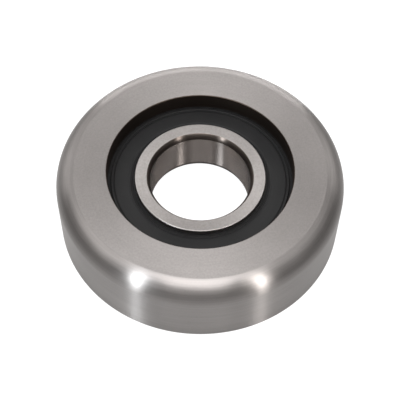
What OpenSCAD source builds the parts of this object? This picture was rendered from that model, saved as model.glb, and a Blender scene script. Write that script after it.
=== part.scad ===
// Sealed ball-bearing cam follower (roller), mounted by its inner ring.
// Millimetres. The axis of rotation is Z and the middle plane of the roller is z = 0.
// Two rings, one row of caged balls and two rubber seals pressed into the outer ring.

/* [Outer ring] */
// Outside diameter of the tread
outer_d = 114.3; // [95:0.1:138]
// Width of the outer ring
outer_w = 31; // [25.8:0.1:37.2]
// Radius of the large tread corner on the upper side
corner_r = 8; // [6.6:0.1:9.6]
// Radial width of that corner, measured from the tread to the flat face
corner_reach = 7.25; // [6:0.05:7.9]
// Radius of the small tread corner on the lower side
edge_r = 1; // [0.8:0.1:2]
// Chamfer at the mouth of each recess
mouth_chamfer = 0.3; // [0.2:0.05:0.5]
// Height of the outer ring's shoulders above its raceway
outer_shoulder_h = 2.3; // [1.9:0.05:2.7]
// Radial width of the ledge that each seal rests on, from shoulder to recess wall
ledge_w = 3.15; // [2.7:0.05:3.8]
// Depth of the undercut that grips each seal's bead
undercut = 0.5; // [0.4:0.05:0.6]

/* [Inner ring] */
// Bore for the stub shaft
bore_d = 40; // [33.3:0.1:48]
// Width of the inner ring
inner_w = 20.6; // [17.2:0.1:24.7]
// Wall between the bore and the bottom of the raceway
inner_wall = 4; // [3.4:0.1:4.8]
// Height of the inner ring's shoulders above its raceway
inner_shoulder_h = 2.1; // [1.8:0.05:2.5]
// Axial length of the rounded corner at each end of the bore
bore_corner_l = 2.6; // [2.2:0.1:3.1]
// Radial width of that rounded corner on the side face
bore_corner_w = 1.3; // [1.1:0.1:1.5]
// Chamfer on the outer edge of each side face
shoulder_chamfer = 0.3; // [0.2:0.05:0.5]
// Depth of the groove that each seal lip runs in
lip_groove_depth = 0.5; // [0.4:0.05:0.6]
// Width of that groove
lip_groove_w = 1.2; // [1.1:0.05:1.4]

/* [Balls] */
// Ball diameter
ball_d = 11.90625; // [9.93:0.01:14.3]
// Number of balls
ball_count = 9; // [7:1:9]
// Radius of the raceway grooves as a share of the ball diameter
conformity = 0.52; // [0.51:0.005:0.54]
// Gap between a ball and the bottom of each raceway
ball_play = 0.05; // [0.02:0.01:0.1]

/* [Cage] */
// Thickness of the pressed sheet
sheet_t = 0.8; // [0.7:0.05:1]
// Radial width of the cage ribbon
ribbon_w = 5; // [4.2:0.1:6]
// Gap between a ball and its pocket
pocket_play = 0.1; // [0.05:0.01:0.2]
// Diameter of the rivet shanks
rivet_d = 1.5; // [1.3:0.05:1.8]
// Diameter of the rivet heads
rivet_head_d = 3; // [2.6:0.1:3.4]
// Height of the rivet heads
rivet_head_h = 0.7; // [0.6:0.05:0.9]
// Gap between a rivet shank and its hole
rivet_play = 0.03; // [0.01:0.01:0.05]

/* [Seals] */
// Overall thickness of each seal
seal_t = 1.1; // [1:0.05:1.4]
// Axial gap between the cage and each seal
seal_gap = 0.3; // [0.2:0.05:0.5]
// Thickness of the steel insert
insert_t = 0.6; // [0.5:0.05:0.7]
// Radial width of rubber between the insert and the ledge's bead
bead_w = 2.55; // [2.2:0.05:3.1]
// Height of the bead in its undercut
bead_h = 1; // [0.9:0.05:1.1]
// Radius of the raised rim near the seal's outer edge
rim_r = 0.35; // [0.3:0.01:0.4]
// Distance from the recess wall to the middle of the raised rim
rim_inset = 1.65; // [1.4:0.05:1.9]
// Depth of the shallow groove inside the raised rim
rim_groove = 0.25; // [0.2:0.01:0.3]
// Radial width of the bevel that runs down to the lip
bevel_w = 1.6; // [1.4:0.1:1.9]
// Radial gap between the inner ring's shoulder and the body of the seal
seal_body_gap = 0.5; // [0.4:0.05:0.6]
// Radial width of solid rubber between the insert and that gap
lip_root_w = 1.4; // [1.2:0.1:1.7]
// How far each lip groove starts beyond the inner side of its seal, towards the balls
lip_drop = 0.2; // [0.15:0.01:0.24]
// Radial gap between the seal lip and the inner ring
lip_gap = 0.1; // [0.05:0.01:0.15]
// Thickness of the lip at its tip
lip_t = 0.6; // [0.5:0.05:0.65]

/* [Hidden] */

ring_facets = 200;
ball_facets = 96;
small_facets = 48;
over = 1; // how far a cutting shape runs past what it cuts

outer_r = outer_d / 2;
half_w = outer_w / 2;
face_r = outer_r - corner_reach;
// The corner arc is tangent to the tread and breaks into the flat face at face_r.
corner_z = half_w - sqrt(pow(corner_r, 2) - pow(corner_r - corner_reach, 2));

bore_r = bore_d / 2;
inner_half_w = inner_w / 2;
ball_r = ball_d / 2;
groove_r = conformity * ball_d;
inner_race_r = bore_r + inner_wall;
pitch_r = inner_race_r + ball_play + ball_r;
outer_race_r = pitch_r + ball_r + ball_play;
inner_shoulder_r = inner_race_r + inner_shoulder_h;
outer_shoulder_r = outer_race_r - outer_shoulder_h;
recess_r = outer_shoulder_r + ledge_w;
bead_r = recess_r + undercut;
// The bore's corner arc is tangent to the bore and breaks into the side face.
bore_corner_r = (pow(bore_corner_l, 2) + pow(bore_corner_w, 2)) / (2 * bore_corner_w);

pocket_r = ball_r + pocket_play;
cage_half_w = pocket_r + sheet_t;
ball_step = 360 / ball_count;
first_ball = 90;
web_t = sheet_t;

seal_z = cage_half_w + seal_gap; // inner side of the upper seal, and the ledge it rests on
lip_groove_r = inner_shoulder_r - lip_groove_depth;
lip_groove_z = seal_z - lip_drop;
lip_r = lip_groove_r + lip_gap;
lip_z = lip_groove_z + (lip_groove_w - lip_t) / 2;
lip_root_r = inner_shoulder_r + seal_body_gap;
insert_ri = lip_root_r + lip_root_w;
insert_ro = bead_r - bead_w;
rim_at = recess_r - rim_inset;

ring_steel = [0.66, 0.64, 0.62];
inner_steel = [0.72, 0.70, 0.68];
polished_steel = [0.80, 0.80, 0.80];
pressed_steel = [0.58, 0.57, 0.55];
insert_steel = [0.45, 0.45, 0.46];
black_rubber = [0.07, 0.07, 0.07];

// Puts its child at ball number k, and at the web halfway to the next ball with half = 0.5.
module at_ball(k, half = 0) {
    rotate([0, 0, first_ball + (k - 1 + half) * ball_step])
        translate([pitch_r, 0, 0])
            children();
}

// Turns the upper seal's pieces over to make the lower ones.
module lower_side() {
    mirror([0, 0, 1]) children();
}

// What lies outside an arc that rounds a convex corner. The arc's centre is at the origin.
module corner_waste(r) {
    difference() {
        square(r + over);
        circle(r, $fn = ring_facets);
    }
}

// The part of the outer ring's section between the recess wall and the tread.
module outer_blank() {
    difference() {
        translate([outer_shoulder_r, -half_w])
            square([outer_r - outer_shoulder_r, outer_w]);
        translate([outer_r - corner_r, corner_z])
            corner_waste(corner_r);
        translate([outer_r - edge_r, -half_w + edge_r])
            mirror([0, 1]) corner_waste(edge_r);
    }
}

// Recess above the upper seal, with its mouth chamfer and the undercut for the bead.
module recess_waste() {
    translate([0, seal_z])
        square([bead_r, bead_h]);
    translate([0, seal_z])
        square([recess_r, half_w - seal_z + over]);
    polygon([
        [0, half_w + over],
        [0, half_w - mouth_chamfer],
        [recess_r, half_w - mouth_chamfer],
        [recess_r + mouth_chamfer + over, half_w + over]]);
}

module outer_ring() {
    color(ring_steel)
        rotate_extrude($fn = ring_facets)
            difference() {
                outer_blank();
                translate([outer_race_r - groove_r, 0])
                    circle(groove_r, $fn = ring_facets);
                recess_waste();
                mirror([0, 1]) recess_waste();
            }
}

// Everything cut from the upper half of the inner ring's section.
module inner_end_waste() {
    // rounded corner at the end of the bore
    difference() {
        translate([bore_r - over, inner_half_w - bore_corner_l])
            square([over + bore_corner_w, bore_corner_l + over]);
        translate([bore_r + bore_corner_r, inner_half_w - bore_corner_l])
            circle(bore_corner_r, $fn = ring_facets);
    }
    // chamfer on the shoulder
    polygon([
        [inner_shoulder_r - shoulder_chamfer, inner_half_w],
        [inner_shoulder_r + over, inner_half_w - shoulder_chamfer - over],
        [inner_shoulder_r + over, inner_half_w]]);
    // groove for the seal lip
    translate([lip_groove_r, lip_groove_z])
        square([lip_groove_depth + over, lip_groove_w]);
}

module inner_ring() {
    color(inner_steel)
        rotate_extrude($fn = ring_facets)
            difference() {
                translate([bore_r, -inner_half_w])
                    square([inner_shoulder_r - bore_r, inner_w]);
                translate([inner_race_r + groove_r, 0])
                    circle(groove_r, $fn = ring_facets);
                inner_end_waste();
                mirror([0, 1]) inner_end_waste();
            }
}

module ball(k) {
    color(polished_steel)
        at_ball(k)
            sphere(ball_r, $fn = ball_facets);
}

// Upper half of the pressed cage: flat webs with a domed pocket over each ball.
module cage_half() {
    difference() {
        intersection() {
            union() {
                cylinder(h = web_t, r = pitch_r + ribbon_w, $fn = ring_facets);
                for (k = [1:ball_count])
                    at_ball(k) sphere(cage_half_w, $fn = ball_facets);
            }
            difference() {
                cylinder(h = cage_half_w + over, r = pitch_r + ribbon_w / 2, $fn = ring_facets);
                translate([0, 0, -over])
                    cylinder(h = cage_half_w + 3 * over, r = pitch_r - ribbon_w / 2, $fn = ring_facets);
            }
        }
        for (k = [1:ball_count]) {
            at_ball(k) sphere(pocket_r, $fn = ball_facets);
            at_ball(k, half = 0.5)
                translate([0, 0, -over])
                    cylinder(h = web_t + 2 * over, r = rivet_d / 2 + rivet_play, $fn = small_facets);
        }
    }
}

module cage_half_upper() {
    color(pressed_steel) cage_half();
}

module cage_half_lower() {
    color(pressed_steel) lower_side() cage_half();
}

// Half of a rivet's section: the shank and one domed head.
module rivet_half() {
    head_r = rivet_head_d / 2;
    dome_r = (pow(head_r, 2) + pow(rivet_head_h, 2)) / (2 * rivet_head_h);
    square([rivet_d / 2, web_t + rivet_head_h / 2]);
    intersection() {
        translate([0, web_t])
            square([head_r, rivet_head_h]);
        translate([0, web_t + rivet_head_h - dome_r])
            circle(dome_r, $fn = small_facets);
    }
}

module cage_rivet(k) {
    color(pressed_steel)
        at_ball(k, half = 0.5)
            rotate_extrude($fn = small_facets) {
                rivet_half();
                mirror([0, 1]) rivet_half();
            }
}

// Section of the upper seal's rubber: lip, bevel, flat face, groove and bead.
module seal_section() {
    face_z = seal_z + seal_t;
    bead_z = seal_z + bead_h;
    polygon([
        [lip_r, lip_z],
        [lip_r, lip_z + lip_t],
        [lip_root_r, lip_z + lip_t],
        [lip_root_r + bevel_w, face_z],
        [rim_at - 3 * rim_r, face_z],
        [rim_at - 2 * rim_r, face_z - rim_groove],
        [rim_at, face_z - rim_groove],
        [rim_at, bead_z],
        [bead_r, bead_z],
        [bead_r, seal_z],
        [insert_ro, seal_z],
        [insert_ro, seal_z + insert_t],
        [insert_ri, seal_z + insert_t],
        [insert_ri, seal_z],
        [lip_root_r, seal_z],
        [lip_root_r, lip_z]]);
}

module seal() {
    color(black_rubber) {
        rotate_extrude($fn = ring_facets)
            seal_section();
        // raised rim
        rotate_extrude($fn = ring_facets)
            translate([rim_at, seal_z + seal_t - rim_r / 4])
                circle(rim_r, $fn = small_facets);
    }
}

// Flat steel washer that stiffens a seal. It is set into the rubber's inner side.
module seal_insert() {
    color(insert_steel)
        rotate_extrude($fn = ring_facets)
            translate([insert_ri, seal_z])
                square([insert_ro - insert_ri, insert_t]);
}

outer_ring();
inner_ring();
cage_half_upper();
cage_half_lower();
seal();  // seal_upper
lower_side() seal();  // seal_lower
seal_insert();  // seal_insert_upper
lower_side() seal_insert();  // seal_insert_lower
for (k = [1:ball_count]) {
    ball(k);
    cage_rivet(k);
}
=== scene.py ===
"""A sealed ball-bearing cam follower on a plain pale floor.

The two rings and both seals are spun from their sections, with rounded edges and fine detail.
The balls, cage, rivets and seal inserts inside are the CAD parts with their own finishes.
Sections are in millimetres as (radius, height); everything in the scene is in metres.
"""

import math

import bmesh
import bpy
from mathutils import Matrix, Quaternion, Vector


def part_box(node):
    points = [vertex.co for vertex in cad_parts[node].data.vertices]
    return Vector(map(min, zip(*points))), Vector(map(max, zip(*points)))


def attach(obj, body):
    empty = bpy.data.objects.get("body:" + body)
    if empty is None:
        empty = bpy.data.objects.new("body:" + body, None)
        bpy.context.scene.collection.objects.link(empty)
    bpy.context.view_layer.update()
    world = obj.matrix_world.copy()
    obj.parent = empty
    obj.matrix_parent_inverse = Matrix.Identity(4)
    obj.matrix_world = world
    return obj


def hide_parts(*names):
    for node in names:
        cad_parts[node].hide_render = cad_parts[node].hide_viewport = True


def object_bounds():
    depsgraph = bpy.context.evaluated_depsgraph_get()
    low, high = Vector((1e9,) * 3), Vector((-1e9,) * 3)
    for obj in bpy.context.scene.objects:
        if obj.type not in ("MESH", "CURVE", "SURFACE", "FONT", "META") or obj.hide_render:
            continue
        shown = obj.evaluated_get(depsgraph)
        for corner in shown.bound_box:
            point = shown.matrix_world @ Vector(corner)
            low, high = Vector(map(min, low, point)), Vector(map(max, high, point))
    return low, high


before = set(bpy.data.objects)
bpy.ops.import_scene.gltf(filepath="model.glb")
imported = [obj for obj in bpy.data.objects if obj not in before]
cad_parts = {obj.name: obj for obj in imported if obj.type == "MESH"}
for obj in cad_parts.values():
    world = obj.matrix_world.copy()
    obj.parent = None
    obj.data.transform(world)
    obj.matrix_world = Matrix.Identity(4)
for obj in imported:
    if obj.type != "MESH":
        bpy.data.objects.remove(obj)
cad_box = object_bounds()

MM = 0.001
BALLS = [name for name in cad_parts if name.startswith("ball_")]
RIVETS = [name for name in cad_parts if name.startswith("cage_rivet_")]
CAGE_HALVES = ["cage_half_upper", "cage_half_lower"]
INSERTS = ["seal_insert_upper", "seal_insert_lower"]

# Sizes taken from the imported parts, in millimetres
ring_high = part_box("outer_ring")[1] / MM
inner_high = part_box("inner_ring")[1] / MM
seal_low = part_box("seal_upper")[0] / MM
seal_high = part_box("seal_upper")[1] / MM
insert_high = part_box("seal_insert_upper")[1] / MM
TREAD_R = ring_high.x
RING_HALF_W = ring_high.z
SHOULDER_R = inner_high.x
INNER_HALF_W = inner_high.z
BEAD_R = seal_high.x
SEAL_LEDGE = seal_low.z

# Sizes of the rings' sections that the boxes don't give, in millimetres
CORNER_R = 8.0  # the large corner of the tread
CORNER_REACH = 7.25  # how far in from the tread the large corner meets the side face
EDGE_R = 1.0  # the small corner of the tread
CHAMFER = 0.3
EDGE_BREAK = 0.1  # rounding of the fine corners
UNDERCUT_DEPTH = 0.5  # the groove in the recess wall that holds the seal's bead
UNDERCUT_H = 1.0
LEDGE_W = 3.15  # the ledge that the seal rests on
OUTER_RACE_DEPTH = 2.3
INNER_RACE_DEPTH = 2.1
GROOVE_R = 6.19  # the raceways' radius in section
BORE_WALL = 6.1
BORE_CORNER_L = 2.6
BORE_CORNER_W = 1.3
LIP_GROOVE_DEPTH = 0.5
LIP_GROOVE_W = 1.2
LIP_GROOVE_DROP = 0.2  # how far the lip groove starts below the ledge
RECESS_R = BEAD_R - UNDERCUT_DEPTH
OUTER_SHOULDER_R = RECESS_R - LEDGE_W
OUTER_RACE_R = OUTER_SHOULDER_R + OUTER_RACE_DEPTH
BORE_R = SHOULDER_R - BORE_WALL
INNER_RACE_R = SHOULDER_R - INNER_RACE_DEPTH

# Sizes of the seal's section, in millimetres. Heights are over the ledge.
LIP_R = SHOULDER_R - 0.4
LIP_ROOT_R = SHOULDER_R + 0.5
LIP_FOOT_H = 0.1
LIP_TOP_H = 0.72
LIP_BEND_H = 0.5
LIP_UNDERSIDE = 0.15  # how far the lip starts inwards of its root
INSERT_RI = SHOULDER_R + 1.9
RIB_R = 0.15
RIB_PITCH = 0.55
RIB_RISE = 0.12
FIRST_RIB = (0.45, 0.78)  # the first rib's distance from the lip's root, and its height
FACE_H = 1.1
BEVEL_R = 0.4
BEVEL_W = 2.0
MOULD_GROOVE_DEPTH = 0.25
MOULD_GROOVE = (0.75, 0.45)  # distances of the groove's two corners from the rim's middle
FACE_END = 1.25  # distance of the flat face's end from the rim's middle
RIM_R = 0.35
RIM_AT = RECESS_R - 1.65
RIM_FOOT = 0.42  # distance of the outer moat from the rim's middle
BEAD_H = 1.0
MOAT_DEPTH = 0.6
MOAT_GAP = 0.12  # distance of the moat's end from the recess wall
BEAD_GAP = 0.1
ROUND = 0.2  # rounding of the lip, the face's end and the bead

SPIN_STEPS = 240
HOLD = 0.06  # distance of the holding loops that keep an edge crisp, in millimetres
LONG_ENOUGH = 6 * HOLD  # shorter stretches need no holding loops
MERGE = 1e-7  # points closer than this are one, in metres

# How far the edge of a material is from the edge of its surface, in millimetres
# The recesses' painted-shade steel reaches this far past the recess wall, so the mouth's chamfer is
# painted dark too and shows no glints
RECESS_SHADE_REACH = 0.25
FLAT_SLACK = 0.01
SIDE_SLACK = 0.02


# ---------------------------------------------------------------- sections

def arc(centre, radius, start, end, steps):
    """Points on an arc, from start to end in degrees."""
    points = []
    for step in range(steps + 1):
        turn = math.radians(start + (end - start) * step / steps)
        points.append((centre[0] + radius * math.cos(turn), centre[1] + radius * math.sin(turn)))
    return points


def softened(points, radius, steps):
    """A straight-sided outline with each of its corners rounded off a little."""
    most = 0.4  # the most of a side that one corner may take
    rounded = []
    count = len(points)
    for place in range(count):
        before = Vector(points[place - 1])
        corner = Vector(points[place])
        after = Vector(points[(place + 1) % count])
        back = before - corner
        ahead = after - corner
        reach = min(radius, back.length * most, ahead.length * most)
        first = corner + back.normalized() * reach
        last = corner + ahead.normalized() * reach
        for step in range(steps + 1):
            share = step / steps
            blend = first.lerp(corner, share).lerp(corner.lerp(last, share), share)
            rounded.append((blend.x, blend.y))
    return rounded


def softened_open(points, radius=EDGE_BREAK, steps=3):
    """An open run of corners, rounded off a little except at its two ends."""
    closed = softened(points, radius, steps)
    per_corner = steps + 1
    return [points[0]] + closed[per_corner:-per_corner] + [points[-1]]


def held(points):
    """The outline with a holding point near both ends of each long straight stretch."""
    out = []
    for place in range(len(points)):
        here = Vector(points[place])
        there = Vector(points[(place + 1) % len(points)])
        out.append(here)
        length = (there - here).length
        if length > LONG_ENOUGH:
            out.append(here.lerp(there, HOLD / length))
            out.append(here.lerp(there, 1 - HOLD / length))
    return out


def mirrored(points):
    """The outline mirrored in the roller's middle plane, in the same sense of turn."""
    return [(radius, -height) for radius, height in reversed(points)]


def outer_ring_section():
    """The outer ring, from its raceway round the upper recess and the tread to the lower recess."""
    rise = math.sqrt(CORNER_R ** 2 - (CORNER_R - CORNER_REACH) ** 2)
    big_centre = (TREAD_R - CORNER_R, RING_HALF_W - rise)
    break_angle = math.degrees(math.asin(rise / CORNER_R))
    small_centre = (TREAD_R - EDGE_R, -RING_HALF_W + EDGE_R)
    race_half = math.degrees(math.acos((OUTER_SHOULDER_R - OUTER_RACE_R + GROOVE_R) / GROOVE_R))
    race = arc((OUTER_RACE_R - GROOVE_R, 0), GROOVE_R, -race_half, race_half, steps=24)
    recess = softened_open([
        (OUTER_SHOULDER_R, SEAL_LEDGE),
        (BEAD_R, SEAL_LEDGE),
        (BEAD_R, SEAL_LEDGE + UNDERCUT_H),
        (RECESS_R, SEAL_LEDGE + UNDERCUT_H),
        (RECESS_R, RING_HALF_W - CHAMFER),
        (RECESS_R + CHAMFER, RING_HALF_W)])
    tread_top = arc(big_centre, CORNER_R, break_angle, 0, steps=44)
    tread_foot = arc(small_centre, EDGE_R, 0, -90, steps=14)
    return held(race + recess + tread_top + tread_foot + mirrored(recess))


def inner_ring_section():
    """The inner ring, from its bore round the upper side face and the raceway to the lower one."""
    corner_r = (BORE_CORNER_L ** 2 + BORE_CORNER_W ** 2) / (2 * BORE_CORNER_W)
    sweep = math.degrees(math.asin(BORE_CORNER_L / corner_r))
    corner_centre = (BORE_R + corner_r, INNER_HALF_W - BORE_CORNER_L)
    corner = arc(corner_centre, corner_r, 180, 180 - sweep, steps=16)
    groove_low = SEAL_LEDGE - LIP_GROOVE_DROP
    groove_high = groove_low + LIP_GROOVE_W
    side = softened_open([
        (BORE_R + BORE_CORNER_W, INNER_HALF_W),
        (SHOULDER_R - CHAMFER, INNER_HALF_W),
        (SHOULDER_R, INNER_HALF_W - CHAMFER),
        (SHOULDER_R, groove_high),
        (SHOULDER_R - LIP_GROOVE_DEPTH, groove_high),
        (SHOULDER_R - LIP_GROOVE_DEPTH, groove_low),
        (SHOULDER_R, groove_low)])
    race_half = math.degrees(math.acos((INNER_RACE_R + GROOVE_R - SHOULDER_R) / GROOVE_R))
    race = arc((INNER_RACE_R + GROOVE_R, 0), GROOVE_R, 180 - race_half, 180 + race_half, steps=24)
    upper = corner + side
    return held(upper + race + mirrored(upper))


def seal_section():
    """The upper seal's rubber: lip with two fine ribs, bevel, flat face, groove, rim and bead."""
    ledge = SEAL_LEDGE
    face = ledge + FACE_H
    groove = face - MOULD_GROOVE_DEPTH
    bead_top = ledge + BEAD_H
    moat = bead_top - MOAT_DEPTH
    ribs = []
    for rib in range(2):
        middle = LIP_ROOT_R + FIRST_RIB[0] + RIB_PITCH * rib
        height = ledge + FIRST_RIB[1] + RIB_RISE * rib
        ribs += arc((middle, height), RIB_R, 180, 0, steps=8)
    lip = arc((LIP_R + ROUND, ledge + LIP_BEND_H), ROUND, 180, 90, steps=6)
    bevel = arc((LIP_ROOT_R + BEVEL_W, face - BEVEL_R), BEVEL_R, 120, 90, steps=4)
    face_end = arc((RIM_AT - FACE_END, face - ROUND), ROUND, 90, 45, steps=4)
    rim = arc((RIM_AT, face - RIM_R / 4), RIM_R, 205, 0, steps=18)
    bead = arc((BEAD_R - ROUND, bead_top - ROUND), ROUND, 90, 0, steps=5)
    return held(
        [(LIP_R, ledge + LIP_FOOT_H)]
        + lip
        + [(LIP_ROOT_R, ledge + LIP_TOP_H)]
        + ribs
        + bevel
        + face_end
        + [(RIM_AT - distance, groove) for distance in MOULD_GROOVE]
        + rim
        + [(RIM_AT + RIM_FOOT, moat), (RECESS_R - MOAT_GAP, moat), (RECESS_R - BEAD_GAP, bead_top)]
        + bead
        + [(BEAD_R, ledge), (insert_high.x, ledge), (insert_high.x, insert_high.z)]
        + [(INSERT_RI, insert_high.z), (INSERT_RI, ledge), (LIP_ROOT_R, ledge)]
        + [(LIP_ROOT_R - LIP_UNDERSIDE, ledge + LIP_FOOT_H)])


# ---------------------------------------------------------------- mesh

def spun(name, section, materials, zone=None):
    """A closed ring: the section, in millimetres, spun once about the Z axis.

    zone(radius, height) gives the number of the material that a face takes, by its middle.
    """
    bm = bmesh.new()
    verts = [bm.verts.new((point[0] * MM, 0, point[1] * MM)) for point in section]
    edges = [bm.edges.new((verts[place - 1], verts[place])) for place in range(len(verts))]
    bmesh.ops.spin(
        bm, geom=verts + edges, cent=(0, 0, 0), axis=(0, 0, 1), dvec=(0, 0, 0),
        angle=2 * math.pi, steps=SPIN_STEPS, use_merge=True, use_duplicate=False)
    bmesh.ops.remove_doubles(bm, verts=bm.verts, dist=MERGE)
    bmesh.ops.recalc_face_normals(bm, faces=bm.faces)
    for face in bm.faces:
        face.smooth = True
        if zone:
            middle = face.calc_center_median() / MM
            face.material_index = zone(middle.xy.length, middle.z)
    mesh = bpy.data.meshes.new(name)
    bm.to_mesh(mesh)
    bm.free()
    for material in materials:
        mesh.materials.append(material)
    piece = bpy.data.objects.new(name, mesh)
    bpy.context.scene.collection.objects.link(piece)
    return piece


# ---------------------------------------------------------------- materials

class Graph:
    """A short way to write a material's nodes."""

    def __init__(self, name):
        self.material = bpy.data.materials.new(name)
        self.material.use_nodes = True
        self.tree = self.material.node_tree
        self.shader = self.tree.nodes["Principled BSDF"]

    def node(self, kind, settings=None, **inputs):
        """A new node. In the inputs' names, _ stands for a space."""
        made = self.tree.nodes.new(kind)
        for key, value in (settings or {}).items():
            setattr(made, key, value)
        for key, value in inputs.items():
            self.feed(made, key.replace("_", " "), value)
        return made

    def feed(self, made, socket, value):
        """Links value to a socket if it is another node's output, or else sets it.

        A socket is given by its name, or by i and its number.
        """
        numbered = socket[:1] == "i" and socket[1:].isdigit()
        target = made.inputs[int(socket[1:]) if numbered else socket]
        if isinstance(value, bpy.types.NodeSocket):
            self.tree.links.new(value, target)
        else:
            target.default_value = value

    def math(self, operation, first, second=0.0):
        made = self.node("ShaderNodeMath", {"operation": operation}, i0=first, i1=second)
        return made.outputs[0]

    def blend(self, *parts):
        """The sum of (value, share) pairs."""
        total = 0.0
        for value, share in parts:
            total = self.math("ADD", total, self.math("MULTIPLY", value, share))
        return total

    def lay(self, along, across):
        """Vector and W of a four-dimensional noise whose grain runs round the Z axis."""
        place = self.node("ShaderNodeTexCoord").outputs["Object"]
        split = self.node("ShaderNodeSeparateXYZ", Vector=place)
        x_squared = self.math("POWER", split.outputs["X"], 2.0)
        y_squared = self.math("POWER", split.outputs["Y"], 2.0)
        radius = self.math("SQRT", self.math("ADD", x_squared, y_squared))
        around_x = self.math("MULTIPLY", self.math("DIVIDE", split.outputs["X"], radius), along)
        around_y = self.math("MULTIPLY", self.math("DIVIDE", split.outputs["Y"], radius), along)
        height = self.math("MULTIPLY", split.outputs["Z"], across)
        vector = self.node("ShaderNodeCombineXYZ", X=around_x, Y=around_y, Z=height).outputs[0]
        return vector, self.math("MULTIPLY", radius, across)

    def lay_noise(self, along, across, detail):
        """Noise in lines round the Z axis. across is about how many lines a metre holds."""
        vector, w = self.lay(along, across)
        made = self.node(
            "ShaderNodeTexNoise", {"noise_dimensions": "4D"},
            Vector=vector, W=w, Scale=1.0, Detail=detail, Roughness=0.6)
        return made.outputs["Fac"]

    def even_noise(self, scale, detail=4.0):
        place = self.node("ShaderNodeTexCoord").outputs["Object"]
        made = self.node(
            "ShaderNodeTexNoise", Vector=place, Scale=scale, Detail=detail, Roughness=0.55)
        return made.outputs["Fac"]

    def ramp(self, fac, low, high):
        """Maps 0..1 to low..high, clamped."""
        made = self.node(
            "ShaderNodeMapRange", {"clamp": True}, Value=fac, To_Min=low, To_Max=high)
        return made.outputs[0]

    def contrast(self, fac, by):
        """Spreads 0..1 by a share to both sides."""
        return self.ramp(fac, -by, 1 + by)

    def tint(self, fac, dark, light):
        mix = self.node("ShaderNodeMix", {"data_type": "RGBA"})
        self.feed(mix, "i0", fac)
        mix.inputs[6].default_value = (*dark, 1)
        mix.inputs[7].default_value = (*light, 1)
        return mix.outputs[2]

    def bump(self, height, distance, strength=1.0, under=None):
        made = self.node("ShaderNodeBump", Height=height, Distance=distance, Strength=strength)
        if under is not None:
            self.feed(made, "Normal", under)
        return made.outputs["Normal"]


def turned_steel(
        name, dark, light, rough, lay=9000.0, depth=0.000003,
        anisotropy=0.85, turn=0.25, spread=0.07, rings=0.4):
    """Bright steel with a fine lay that runs round the axis, as turning or grinding leaves it.

    lay is about how many lines a metre holds, and depth is how deep they are, in metres.
    turn is the direction in which the lay spreads a highlight: 0.25 across the lay, 0 along it.
    spread is how far the roughness varies to both sides of rough.
    rings is the share of broad rings in the colour. The less of them, the more even grain.
    """
    g = Graph(name)
    fine = g.lay_noise(along=1.2, across=lay, detail=3.0)
    broad = g.lay_noise(along=2.2, across=lay / 6, detail=2.0)
    clouds = g.even_noise(scale=38.0)
    grain = g.even_noise(scale=1300.0, detail=2.0)
    shade = g.blend((fine, 0.2), (broad, rings), (clouds, 0.3), (grain, 0.5 - rings))
    polish = g.blend((fine, 0.6), (broad, 0.4))
    g.feed(g.shader, "Base Color", g.tint(g.contrast(shade, by=0.6), dark, light))
    g.feed(g.shader, "Roughness", g.ramp(polish, rough - spread, rough + spread))
    g.shader.inputs["Metallic"].default_value = 1.0
    g.shader.inputs["Anisotropic"].default_value = anisotropy
    g.shader.inputs["Anisotropic Rotation"].default_value = turn
    tangent = g.node("ShaderNodeTangent", {"direction_type": "RADIAL", "axis": "Z"})
    g.feed(g.shader, "Tangent", tangent.outputs[0])
    g.feed(g.shader, "Normal", g.bump(fine, depth))
    return g.material


def plain_steel(name, dark, light, rough, grain=900.0, depth=0.000006):
    """Pressed, drawn or polished steel with a fine even grain."""
    g = Graph(name)
    spread = 0.06
    grain_noise = g.even_noise(grain)
    g.feed(g.shader, "Base Color", g.tint(g.even_noise(scale=120.0), dark, light))
    g.feed(g.shader, "Roughness", g.ramp(grain_noise, rough - spread, rough + spread))
    g.shader.inputs["Metallic"].default_value = 1.0
    g.feed(g.shader, "Normal", g.bump(grain_noise, depth))
    return g.material


def seal_rubber():
    """Black moulded rubber, matte, with a slight bloom and fine mould lines."""
    g = Graph("moulded_seal_rubber")
    black = (0.005, 0.005, 0.0055)
    bloomed = (0.012, 0.0115, 0.0115)
    lines = g.lay_noise(along=1.0, across=3500.0, detail=2.0)
    pores = g.even_noise(scale=2600.0, detail=3.0)
    bloom = g.even_noise(scale=60.0)
    shade = g.blend((bloom, 0.6), (lines, 0.4))
    line_bump = g.bump(lines, distance=0.00001)
    g.feed(g.shader, "Base Color", g.tint(g.contrast(shade, by=0.4), black, bloomed))
    g.feed(g.shader, "Roughness", g.ramp(pores, low=0.5, high=0.66))
    g.shader.inputs["Specular IOR Level"].default_value = 0.17
    g.feed(g.shader, "Normal", g.bump(pores, 0.00002, strength=0.6, under=line_bump))
    return g.material


def finish_with(piece, material):
    """Gives a whole piece one material."""
    piece.data.materials.clear()
    piece.data.materials.append(material)


# ---------------------------------------------------------------- studio

WHITE = (1, 1, 1)
COOL_WHITE = (0.90, 0.96, 1.0)
WARM_WHITE = (1.0, 0.98, 0.96)
STUDIO_AIR = (0.215, 0.21, 0.203, 1)
LAMP_SIZE = (0.085, 1.08)

# Name, azimuth and elevation in degrees, distance, (width, height), radiance, tint, lean
LIGHTS = [
    ("overhead", -3, 81.5, 0.9, (0.44, 0.80), 5.7, WHITE, 0),
    ("back_wall", 180, 45, 1.2, (2.4, 0.35), 1.4, WHITE, 0),
    ("back_strip", 180, 19, 1.2, (1.1, 0.3), 6.4, WHITE, 0),
    ("left_strip", -134, 22, 1.2, (0.9, 0.4), 1.4, WHITE, 0),
    ("right_strip", 136, 22, 1.2, (0.9, 0.4), 0.8, WHITE, 0),
    ("left_wall", -103, 60, 1.2, (1.0, 0.7), 2.1, WHITE, 0),
    ("right_wall", 103, 60, 1.2, (1.0, 0.7), 1.2, WHITE, 0),
    ("left_lamp", -42, 33, 0.9, LAMP_SIZE, 18, COOL_WHITE, 9),
    ("right_lamp", 43, 34, 0.9, LAMP_SIZE, 13.0, WARM_WHITE, -8),
]

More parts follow.
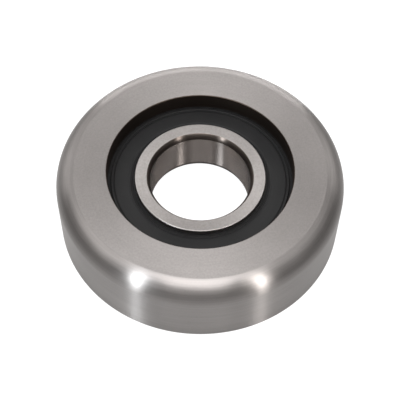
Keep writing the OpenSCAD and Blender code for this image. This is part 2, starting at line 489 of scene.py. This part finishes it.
# The floor's pool of light: where it starts to fade and where it ends, and both brightnesses
POOL_NEAR = 0.08
POOL_FAR = 0.20
POOL_BRIGHT = 0.77
POOL_DIM = 0.19
# The shade under the roller ends between these two radii
SHADE_NEAR = 0.050
SHADE_FAR = 0.064
FLOOR_HALF = 3.0
FLOOR_GAP = 0.0001


def camera():
    place = Vector((0, -0.2430, 0.3522))
    target = Vector((0.00007, -0.01512, 0.0155))
    roll = math.radians(1.07)
    data = bpy.data.cameras.new("camera")
    data.lens = 95.16
    data.sensor_width = 36
    data.clip_start = 0.01
    made = bpy.data.objects.new("camera", data)
    made.location = place
    made.rotation_mode = "QUATERNION"
    level = (target - place).to_track_quat("-Z", "Y")
    made.rotation_quaternion = level @ Quaternion((0, 0, 1), roll)
    bpy.context.scene.collection.objects.link(made)
    bpy.context.scene.camera = made


def softbox(name, azimuth, elevation, distance, size, radiance, tint, lean):
    """A rectangular light that faces the roller. Azimuth is from the front, towards +X.

    lean tips the light's upper end sideways, in degrees.
    """
    az = math.radians(azimuth)
    el = math.radians(elevation)
    way = Vector((math.sin(az) * math.cos(el), -math.cos(az) * math.cos(el), math.sin(el)))
    data = bpy.data.lights.new(name, "AREA")
    data.shape = "RECTANGLE"
    data.size = size[0]
    data.size_y = size[1]
    data.energy = radiance * math.pi * size[0] * size[1]
    data.color = tint
    made = bpy.data.objects.new(name, data)
    made.location = way * distance
    made.rotation_mode = "QUATERNION"
    upright = (-way).to_track_quat("-Z", "Y")
    made.rotation_quaternion = upright @ Quaternion((0, 0, 1), math.radians(lean))
    bpy.context.scene.collection.objects.link(made)


def studio():
    world = bpy.data.worlds.new("studio_air")
    world.use_nodes = True
    air = world.node_tree.nodes["Background"]
    air.inputs["Color"].default_value = STUDIO_AIR
    air.inputs["Strength"].default_value = 1.0
    bpy.context.scene.world = world
    bpy.context.scene.view_settings.view_transform = "Standard"
    for light in LIGHTS:
        softbox(*light)


def floor():
    """A pale floor, white to the camera.

    What the roller mirrors of it is a pool of light that fades out with distance, with a shade
    under the roller.
    """
    g = Graph("pale_floor")
    place = g.node("ShaderNodeTexCoord").outputs["Object"]
    distance = g.node("ShaderNodeVectorMath", {"operation": "LENGTH"}, i0=place).outputs["Value"]
    pool = g.node(
        "ShaderNodeMapRange", {"clamp": True, "interpolation_type": "SMOOTHERSTEP"},
        Value=distance, From_Min=POOL_NEAR, From_Max=POOL_FAR,
        To_Min=POOL_BRIGHT, To_Max=POOL_DIM).outputs[0]
    shade = g.node(
        "ShaderNodeMapRange", {"clamp": True},
        Value=distance, From_Min=SHADE_NEAR, From_Max=SHADE_FAR,
        To_Min=0.0, To_Max=1.0).outputs[0]
    seen = g.node("ShaderNodeLightPath").outputs["Is Camera Ray"]
    glow = g.math("MAXIMUM", seen, g.math("MULTIPLY", pool, shade))
    g.shader.inputs["Base Color"].default_value = (0.10, 0.10, 0.10, 1)
    g.shader.inputs["Roughness"].default_value = 0.07
    g.shader.inputs["IOR"].default_value = 1.78
    g.shader.inputs["Emission Color"].default_value = (1, 1, 1, 1)
    g.feed(g.shader, "Emission Strength", glow)
    bm = bmesh.new()
    bmesh.ops.create_grid(bm, x_segments=1, y_segments=1, size=FLOOR_HALF)
    bmesh.ops.translate(bm, verts=bm.verts, vec=(0, 0, cad_box[0][2] - FLOOR_GAP))
    mesh = bpy.data.meshes.new("floor")
    bm.to_mesh(mesh)
    bm.free()
    made = bpy.data.objects.new("floor", mesh)
    made.data.materials.append(g.material)
    bpy.context.scene.collection.objects.link(made)


# ---------------------------------------------------------------- the roller

WARM = Vector((1.0, 0.935, 0.905))  # the rings' steel, a little warmer than grey
FINE_LAY = 12000.0


def stand_in(piece, body, slot, *nodes):
    """Puts a new piece on its body, in place of the CAD nodes."""
    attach(piece, body)
    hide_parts(*nodes)


def roller_zone(radius, height):
    """0: tread and its corners, 1: flat side faces, 2: recesses and raceway, in dark steel that
    paints the recesses' shade.
    """
    if radius < RECESS_R + RECESS_SHADE_REACH:
        return 2
    flat = abs(height) > RING_HALF_W - FLAT_SLACK
    return 1 if flat else 0


def bore_ring_zone(radius, height):
    """0: side faces and shoulders, 1: bore, 2: the bore's rounded ends, in a dark copy of the bore
    steel that paints their shade.
    """
    if radius > BORE_R + BORE_CORNER_W - SIDE_SLACK:
        return 0
    return 2 if abs(height) > INNER_HALF_W - BORE_CORNER_L else 1


def rings():
    tread = turned_steel(
        "turned_tread_steel", WARM * 0.193, WARM * 0.288, rough=0.33, anisotropy=0.93)
    face = turned_steel(
        "ground_face_steel", WARM * 0.195, WARM * 0.285, rough=0.40,
        anisotropy=0.5, rings=0.12)
    # Painted shade: the recesses, their mouths and the raceway take a dark brownish steel in place
    # of the shade that falls in them
    recess = turned_steel(
        "recess_painted_shade_steel", (0.042, 0.032, 0.026), (0.062, 0.048, 0.04), rough=0.45,
        anisotropy=0.3)
    side = turned_steel(
        "fine_ground_steel", WARM * 0.235, WARM * 0.395, rough=0.36,
        lay=FINE_LAY, anisotropy=0.4, turn=0.0, rings=0.1)
    bore = turned_steel(
        "honed_bore_steel", (0.50, 0.44, 0.41), (0.60, 0.53, 0.495), rough=0.25,
        lay=FINE_LAY, depth=0.0000008, anisotropy=0.4, spread=0.03)
    # Painted shade: the bore's rounded ends take a dark, brownish copy of the bore steel
    corner = turned_steel(
        "bore_end_painted_shade_steel", (0.075, 0.062, 0.055), (0.11, 0.092, 0.082), rough=0.30,
        anisotropy=0.93)
    stand_in(
        spun("roller_ring", outer_ring_section(), (tread, face, recess), roller_zone),
        "outer_ring", "outer_ring_steel", "outer_ring")
    stand_in(
        spun("bore_ring", inner_ring_section(), (side, bore, corner), bore_ring_zone),
        "inner_ring", "inner_ring_steel", "inner_ring")


def seals():
    rubber = seal_rubber()
    upper = seal_section()
    for name, section, node in (
            ("upper_seal_rubber", upper, "seal_upper"),
            ("lower_seal_rubber", mirrored(upper), "seal_lower")):
        stand_in(spun(name, section, [rubber]), "outer_ring", "seal_rubber", node)


def inside_parts():
    polished = plain_steel(
        "polished_ball_steel", (0.62, 0.62, 0.63), (0.70, 0.70, 0.71), rough=0.12,
        grain=400.0, depth=0.000001)
    pressed = plain_steel(
        "pressed_cage_steel", (0.42, 0.41, 0.39), (0.55, 0.54, 0.52), rough=0.38)
    drawn = plain_steel(
        "seal_insert_steel", (0.34, 0.34, 0.35), (0.44, 0.44, 0.45), rough=0.42,
        grain=700.0)
    for names, material in ((BALLS, polished), (CAGE_HALVES + RIVETS, pressed), (INSERTS, drawn)):
        for name in names:
            finish_with(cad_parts[name], material)


camera()
studio()
floor()
rings()
seals()
inside_parts()
